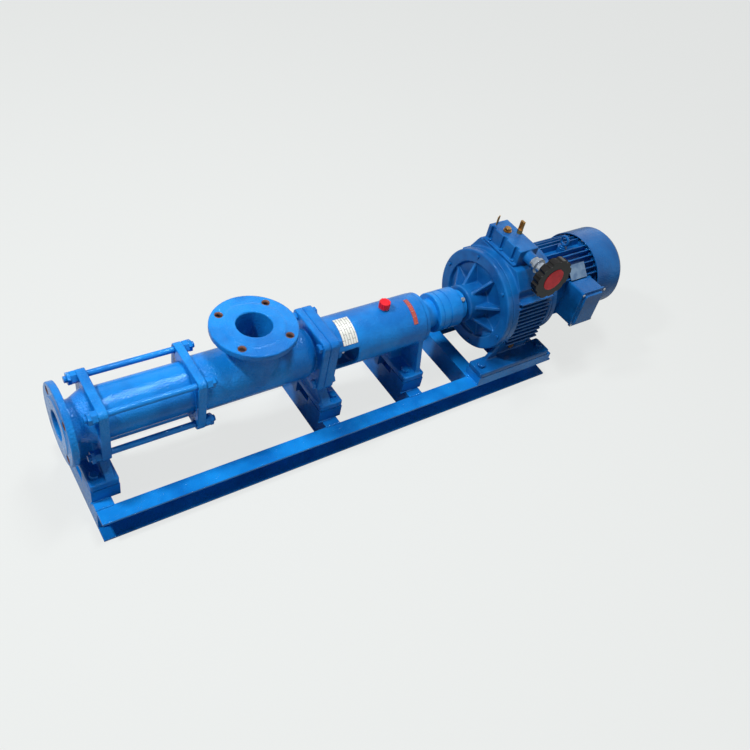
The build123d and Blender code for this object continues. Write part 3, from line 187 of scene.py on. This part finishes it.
def bare_metal(name, colour_hex, dark_hex, roughness, mark_mm, metallic=1.0):
    """Machined or plated metal: fine tool marks, a little unevenness in gloss."""
    material, tree = new_material(name)
    place = add_node(tree, "ShaderNodeTexCoord").outputs["Object"]
    stretch = add_node(tree, "ShaderNodeMapping", None, Vector=place, Scale=(1.0, 0.12, 0.12))
    marks = add_node(tree, "ShaderNodeTexNoise", None, Vector=stretch.outputs[0], Scale=1000.0 / mark_mm,
                     Detail=2.0)
    stain = add_node(tree, "ShaderNodeTexNoise", None, Vector=place, Scale=60.0, Detail=3.0)
    tint = add_node(tree, "ShaderNodeMapRange", None, Value=stain.outputs["Fac"], From_Min=0.4, From_Max=0.65)
    colour = add_node(tree, "ShaderNodeMix", {"data_type": "RGBA"}, n0=tint.outputs[0], n6=linear(colour_hex),
                      n7=linear(dark_hex))
    gloss = add_node(tree, "ShaderNodeMapRange", None, Value=marks.outputs["Fac"], From_Min=0.3, From_Max=0.7,
                     To_Min=roughness - 0.08, To_Max=roughness + 0.1)
    edge = add_node(tree, "ShaderNodeBevel", {"samples": 4}, Radius=0.0006)
    skin = add_node(tree, "ShaderNodeBump", None, Strength=0.35, Distance=0.0002, Height=marks.outputs["Fac"],
                    Normal=edge.outputs[0])
    metal = add_node(tree, "ShaderNodeBsdfPrincipled", None, Base_Color=colour.outputs[2], Metallic=metallic,
                     Roughness=gloss.outputs[0], Normal=skin.outputs[0])
    add_node(tree, "ShaderNodeOutputMaterial", None, Surface=metal.outputs[0])
    return material


def moulded(name, colour_hex, worn_hex, roughness, grain_mm, grain_depth_mm=0.15):
    """Moulded plastic or rubber: fine grain and a slightly dusty unevenness."""
    material, tree = new_material(name)
    place = add_node(tree, "ShaderNodeTexCoord").outputs["Object"]
    grain = add_node(tree, "ShaderNodeTexNoise", None, Vector=place, Scale=1000.0 / grain_mm, Detail=2.0)
    dust = add_node(tree, "ShaderNodeTexNoise", None, Vector=place, Scale=40.0, Detail=4.0)
    tint = add_node(tree, "ShaderNodeMapRange", None, Value=dust.outputs["Fac"], From_Min=0.45, From_Max=0.75)
    colour = add_node(tree, "ShaderNodeMix", {"data_type": "RGBA"}, n0=tint.outputs[0], n6=linear(colour_hex),
                      n7=linear(worn_hex))
    gloss = add_node(tree, "ShaderNodeMapRange", None, Value=dust.outputs["Fac"], From_Min=0.3, From_Max=0.7,
                     To_Min=roughness - 0.06, To_Max=roughness + 0.1)
    edge = add_node(tree, "ShaderNodeBevel", {"samples": 4}, Radius=0.0008)
    skin = add_node(tree, "ShaderNodeBump", None, Strength=0.5, Distance=grain_depth_mm / 1000,
                    Height=grain.outputs["Fac"], Normal=edge.outputs[0])
    plastic = add_node(tree, "ShaderNodeBsdfPrincipled", None, Base_Color=colour.outputs[2],
                       Roughness=gloss.outputs[0], IOR=1.48, Normal=skin.outputs[0],
                       Specular_IOR_Level=0.3)
    add_node(tree, "ShaderNodeOutputMaterial", None, Surface=plastic.outputs[0])
    return material


def printed_plate(name, sheet_hex, ink_hex, cell_mm, row_mm, line_mm):
    """Anodised sheet with a ruled blank table: empty boxes, no lettering. The rules follow the plate's curve."""
    material, tree = new_material(name)
    place = add_node(tree, "ShaderNodeTexCoord").outputs["Object"]
    parts = add_node(tree, "ShaderNodeSeparateXYZ", None, Vector=place)
    turn = add_node(tree, "ShaderNodeMath", {"operation": "ARCTAN2"}, n0=parts.outputs["Z"], n1=parts.outputs["Y"])
    round_way = add_node(tree, "ShaderNodeMath", {"operation": "MULTIPLY"}, n0=turn.outputs[0], n1=PLATE_RADIUS)
    flat = add_node(tree, "ShaderNodeCombineXYZ", None, X=round_way.outputs[0], Y=parts.outputs["X"])
    table = add_node(tree, "ShaderNodeTexBrick", {"offset": 0.5, "squash": 1.0}, Vector=flat.outputs[0],
                     Color1=linear(sheet_hex), Color2=linear(sheet_hex), Mortar=linear(ink_hex), Scale=1.0,
                     Mortar_Size=line_mm / 1000, Brick_Width=cell_mm / 1000, Row_Height=row_mm / 1000)
    brushed = add_node(tree, "ShaderNodeTexNoise", None, Vector=place, Scale=900.0)
    gloss = add_node(tree, "ShaderNodeMapRange", None, Value=brushed.outputs["Fac"], To_Min=0.25, To_Max=0.5)
    metal = add_node(tree, "ShaderNodeBsdfPrincipled", None, Base_Color=table.outputs["Color"], Metallic=0.55,
                     Roughness=gloss.outputs[0])
    add_node(tree, "ShaderNodeOutputMaterial", None, Surface=metal.outputs[0])
    return material


PLATE_RADIUS = 0.066
FINISHES = {
    # thick gloss blue over rough sand castings: glints from the cast skin
    "cast_enamel": enamel("gloss_enamel_on_sand_casting", "1583d6", "0d68b8", 4.2, 2.2, 0.08, 2.4),
    # the same paint over rolled steel and turned tube, smoother
    "rolled_enamel": enamel("gloss_enamel_on_rolled_steel", "1480d2", "0c67b6", 4.2, 1.2, 0.07, 1.2),
    # the drive's own, greyer blue
    "drive_enamel": enamel("satin_enamel_on_drive_castings", "1163a8", "0b4c8c", 4.0, 1.0, 0.09, 1.6),
    # turned shafts and screws: fine marks that stretch the light along the piece
    "machined_steel": bare_metal("turned_carbon_steel", "c3c6c8", "a3a5a6", 0.3, 0.8),
    # dull yellow fittings, darker where handled
    "brass": bare_metal("turned_brass", "b98f52", "7d5a2c", 0.36, 0.8),
    # the wheel's plated sleeve: crisp reflections, with its colour set darker than bare chrome as a painted dark
    # reflection
    "chrome": bare_metal("chromium_plate_painted_dark_reflection", "a4adb8", "87919e", 0.16, 1.0),
    # soft black with almost no shine
    "rubber": moulded("moulded_nitrile_rubber", "141416", "262628", 0.6, 1.2),
    # matt black with a light grain
    "dark_plastic": moulded("moulded_nylon", "1b1c1e", "303133", 0.45, 0.9),
    # the wheel: deep black with small sharp glints
    "black_plastic": moulded("polished_phenolic_resin", "060607", "111112", 0.13, 2.0, 0.05),
    # the two caps: clear red with a soft shine
    "red_plastic": moulded("red_polypropylene", "e31326", "c40d1f", 0.32, 1.2),
    # pale metal with thin dark rules and empty boxes
    "plate": printed_plate("anodised_aluminium_plate", "d9dbd6", "44474a", 26.0, 7.0, 0.5),
    # a dull blue-grey blank plate
    "worn_plate": bare_metal("weathered_aluminium_plate", "6f8aa5", "4f6d90", 0.4, 1.2, 0.5),
    # a red strip with pale rules and no words
    "warning": printed_plate("red_printed_aluminium", "a82a1c", "c9a79a", 30.0, 3.4, 0.3),
    # hole walls that the spray missed: iron-oxide primer
    "rust_primer": moulded("red_oxide_primer", "6d4a3c", "4a332b", 0.6, 1.5),
    # coarse dark grey braid
    "packing": moulded("graphited_braid", "3a3a3a", "232323", 0.8, 2.5, 0.4),
}
FINISH_OF = {
    "rolled_enamel": ["base_rails", "cross_members", "support_pads", "stator_tube", "tie_rods", "tie_rod_nuts",
                      "foot_bolts", "bracket_bolts", "coupling_pump_half", "coupling_drive_half",
                      "bearing_cover", "cover_screws", "drive_bed", "coupling_spider"],
    "cast_enamel": ["discharge_body", "suction_body", "bearing_bracket", "gland_follower"],
    "drive_enamel": ["variator_cover", "variator_cover_screws", "variator_housing", "variator_foot_bolts",
                     "control_box", "box_screws", "motor_flange", "motor_flange_bolts", "motor_frame",
                     "motor_rear_shield", "eyebolt", "terminal_box", "terminal_lid", "fan_cowl"],
    "machined_steel": ["rotor", "rotor_joint_pin", "connecting_rod", "gland_studs", "bearing_outer_rings",
                       "bearing_inner_rings", "drive_shaft", "shaft_joint_pin", "coupling_screws",
                       "output_shaft", "control_screw", "motor_shaft", "terminal_lid_screws"],
    "brass": ["box_fittings", "drain_plug"],
    "chrome": ["handwheel_hub"],
    "rubber": ["stator_lining", "joint_boot", "shaft_seal"],
    "dark_plastic": ["cable_gland", "cooling_fan"],
    "black_plastic": ["handwheel"],
    "red_plastic": ["handwheel_cap", "oil_filler_cap"],
    "plate": ["bracket_label"],
    "worn_plate": ["motor_nameplate"],
    "warning": ["warning_strip"],
    "packing": ["gland_packing"],
}
for finish, names in FINISH_OF.items():
    for name in names:
        nodes[name].data.materials.clear()
        nodes[name].data.materials.append(FINISHES[finish])


# ---------------------------------------------------------------- shared modelling steps
def deselect():
    bpy.ops.object.select_all(action="DESELECT")


def work_on(piece):
    deselect()
    piece.select_set(True)
    bpy.context.view_layer.objects.active = piece


def settle(piece, body, finish):
    """Puts the piece's place in its mesh, gives it its finish and lets it ride on a body."""
    work_on(piece)
    bpy.ops.object.transform_apply(location=True, rotation=True, scale=True)
    piece.data.materials.clear()
    piece.data.materials.append(FINISHES[finish])
    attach(piece, body)
    return piece


def joined(pieces, name):
    """Several new pieces made one, which keeps the name given."""
    deselect()
    for piece in pieces:
        piece.select_set(True)
    bpy.context.view_layer.objects.active = pieces[0]
    if len(pieces) > 1:
        bpy.ops.object.join()
    made = bpy.context.active_object
    made.name = name
    return made


# ---------------------------------------------------------------- sand castings with rounded edges and inner corners
def casting(name, voxel_mm, rounding, keep_share, flares=()):
    """The node's own shape as the mould leaves it: rounded edges, filled inner corners, one closed skin."""
    deselect()
    source = nodes[name]
    skin = source.copy()
    skin.data = source.data.copy()
    for key in list(skin.keys()):
        del skin[key]
    skin.parent = None
    bpy.context.scene.collection.objects.link(skin)
    skin = joined([skin] + [flare() for flare in flares], name + "_casting")
    work_on(skin)
    bpy.ops.object.mode_set(mode="EDIT")
    bpy.ops.mesh.select_all(action="SELECT")
    bpy.ops.mesh.remove_doubles(threshold=0.00001)
    bpy.ops.object.mode_set(mode="OBJECT")
    grid = skin.modifiers.new("grid", "REMESH")
    grid.mode = "VOXEL"
    grid.voxel_size = voxel_mm / 1000
    bpy.ops.object.modifier_apply(modifier="grid")
    soften = skin.modifiers.new("soften", "SMOOTH")
    soften.factor = 0.5
    soften.iterations = rounding
    bpy.ops.object.modifier_apply(modifier="soften")
    thin = skin.modifiers.new("thin", "DECIMATE")
    thin.ratio = keep_share
    bpy.ops.object.modifier_apply(modifier="thin")
    bpy.ops.object.shade_smooth()
    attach(skin, BASE)
    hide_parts(name)
    return skin


SUCTION_X = 0.427
NECK_R = 0.052
NECK_BORE_R = 0.0405
BODY_BORE_R = 0.0535
FLARE_LOW, FLARE_HIGH = 0.030, 0.086


def suction_flare():
    """The fillet that widens the suction neck along the body, open where the liquid runs."""
    bpy.ops.mesh.primitive_cone_add(vertices=64, radius1=NECK_R + 0.026, radius2=NECK_R, depth=FLARE_HIGH - FLARE_LOW,
                                    location=(SUCTION_X, 0, (FLARE_LOW + FLARE_HIGH) / 2))
    flare = bpy.context.active_object
    for radius, turn in ((NECK_BORE_R, 0.0), (BODY_BORE_R, math.pi / 2)):
        bpy.ops.mesh.primitive_cylinder_add(vertices=64, radius=radius, depth=0.4, location=(SUCTION_X, 0, 0),
                                            rotation=(0, turn, 0))
        bore = bpy.context.active_object
        work_on(flare)
        cut = flare.modifiers.new("cut", "BOOLEAN")
        cut.operation = "DIFFERENCE"
        cut.object = bore
        bpy.ops.object.modifier_apply(modifier="cut")
        bpy.data.objects.remove(bore)
    for corner in flare.data.vertices:
        narrow = (FLARE_HIGH - (FLARE_LOW + FLARE_HIGH) / 2 - corner.co.z) / (FLARE_HIGH - FLARE_LOW)
        corner.co.y *= 1.0 - 0.24 * narrow if abs(corner.co.y) > NECK_BORE_R else 1.0
    return flare


for cast_name, voxel_mm, rounding, keep_share, slot_name, flares in (
        ("discharge_body", 1.8, 4, 0.6, "pump_enamel", ()),
        ("suction_body", 2.2, 4, 0.6, "pump_enamel", (suction_flare,)),
        ("bearing_bracket", 2.2, 4, 0.6, "pump_enamel", ()),
        ("variator_cover", 1.8, 3, 0.6, "drive_enamel", ()),
        ("variator_housing", 2.2, 2, 0.6, "drive_enamel", ()),
        ("control_box", 1.5, 3, 0.6, "drive_enamel", ())):
    casting(cast_name, voxel_mm, rounding, keep_share, flares)


# ---------------------------------------------------------------- weld beads of the base
BEAD_R = 0.0028
BEAD_STEP = 0.0034


def weld_bead(start, end):
    """Overlapping ripples of a fillet weld laid from start to end."""
    run = Vector(end) - Vector(start)
    bpy.ops.mesh.primitive_uv_sphere_add(segments=10, ring_count=6, radius=BEAD_R, location=start)
    bead = bpy.context.active_object
    bead.rotation_euler = run.to_track_quat("X", "Z").to_euler()
    bead.scale = (0.9, 1.15, 0.8)
    bpy.ops.object.transform_apply(location=False, rotation=False, scale=True)
    row = bead.modifiers.new("ripples", "ARRAY")
    row.use_relative_offset = False
    row.use_constant_offset = True
    row.constant_offset_displace = (BEAD_STEP, 0.0, 0.0)
    row.count = max(2, int(run.length / BEAD_STEP))
    bpy.ops.object.modifier_apply(modifier="ripples")
    bpy.ops.object.shade_smooth()
    return bead


rail_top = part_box("base_rails")[1].z
member_low, member_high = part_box("cross_members")
pad_low, pad_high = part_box("support_pads")
bed_low, bed_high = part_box("drive_bed")
bracket_low, bracket_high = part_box("bearing_bracket")
discharge_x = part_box("discharge_body")[0].x
FLANGE_W = 0.040
PAD_W = 0.062
BED_WELD_Y = (0.093, 0.145)
BED_SIDE_Y = 0.091
BED_SIDE_RUN = (0.002, 0.050)
MEMBER_X = [member_low.x, bracket_low.x + 0.010, bracket_high.x - 0.048, bed_low.x - 0.008,
            member_high.x - FLANGE_W]
web_y = member_high.y
deselect()
beads = []
for station in MEMBER_X:
    for side_y in (-web_y, web_y):
        beads.append(weld_bead((station + 0.001, side_y, rail_top), (station + FLANGE_W - 0.001, side_y, rail_top)))
for station in (pad_low.x, bracket_low.x, pad_high.x - PAD_W):
    for side_y in (-1, 1):
        beads.append(weld_bead((station, side_y * pad_high.y, pad_low.z), (station + FLANGE_W, side_y * pad_high.y,
                                                                             pad_low.z)))
for station in (bed_low.x, bed_high.x):
    for side_y in (-1, 1):
        beads.append(weld_bead((station, side_y * BED_WELD_Y[0], bed_low.z),
                               (station, side_y * BED_WELD_Y[1], bed_low.z)))
for side_y in (-1, 1):
    beads.append(weld_bead((bed_low.x + BED_SIDE_RUN[0], side_y * BED_SIDE_Y, bed_low.z),
                           (bed_low.x + BED_SIDE_RUN[1], side_y * BED_SIDE_Y, bed_low.z)))
settle(joined(beads, "base_weld_beads"), BASE, "rolled_enamel")


# ---------------------------------------------------------------- threads on the tie rods' ends
rod_low, rod_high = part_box("tie_rods")
rod_r = 0.007
rod_y = rod_high.y - rod_r
THREAD_PITCH = 0.0016
rings = []
for end_x, inward in ((rod_low.x, 1), (rod_high.x, -1)):
    for sy in (-1, 1):
        for sz in (-1, 1):
            for turn in range(4):
                bpy.ops.mesh.primitive_torus_add(
                    major_segments=20, minor_segments=6, major_radius=rod_r, minor_radius=THREAD_PITCH * 0.32,
                    location=(end_x + inward * (0.0009 + THREAD_PITCH * turn), sy * rod_y, sz * rod_y),
                    rotation=(0, math.pi / 2, 0))
                rings.append(bpy.context.active_object)
                bpy.ops.object.shade_smooth()
settle(joined(rings, "tie_rod_threads"), BASE, "rolled_enamel")


# ---------------------------------------------------------------- bare bores of the flange holes
suction_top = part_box("suction_body")[1].z
RAISED = 0.002
SUCTION_BOLTS_R, DISCHARGE_BOLTS_R = 0.080, 0.0725
SLEEVE_R = 0.0089
SUCTION_SLEEVE, DISCHARGE_SLEEVE = 0.0158, 0.0148
SUCTION_MID, DISCHARGE_MID = 0.008, 0.0075
SLEEVE_WALL = 0.0004
sleeves = []


def hole_sleeve(place, radius, depth, turn):
    bpy.ops.mesh.primitive_cylinder_add(vertices=32, radius=radius, depth=depth, end_fill_type="NOTHING",
                                        location=place, rotation=turn)
    sleeve = bpy.context.active_object
    wall = sleeve.modifiers.new("wall", "SOLIDIFY")
    wall.thickness = SLEEVE_WALL
    wall.offset = -1
    bpy.ops.object.modifier_apply(modifier="wall")
    bpy.ops.object.shade_smooth()
    return sleeve


for index in range(4):
    angle = math.radians(45 + 90 * index)
    sleeves.append(hole_sleeve((SUCTION_X + SUCTION_BOLTS_R * math.cos(angle), SUCTION_BOLTS_R * math.sin(angle),
                                suction_top - RAISED - SUCTION_MID), SLEEVE_R, SUCTION_SLEEVE, (0, 0, 0)))
    sleeves.append(hole_sleeve((discharge_x + RAISED + DISCHARGE_MID, DISCHARGE_BOLTS_R * math.cos(angle),
                                DISCHARGE_BOLTS_R * math.sin(angle)), SLEEVE_R, DISCHARGE_SLEEVE,
                               (0, math.pi / 2, 0)))
settle(joined(sleeves, "flange_hole_bores"), BASE, "rust_primer")
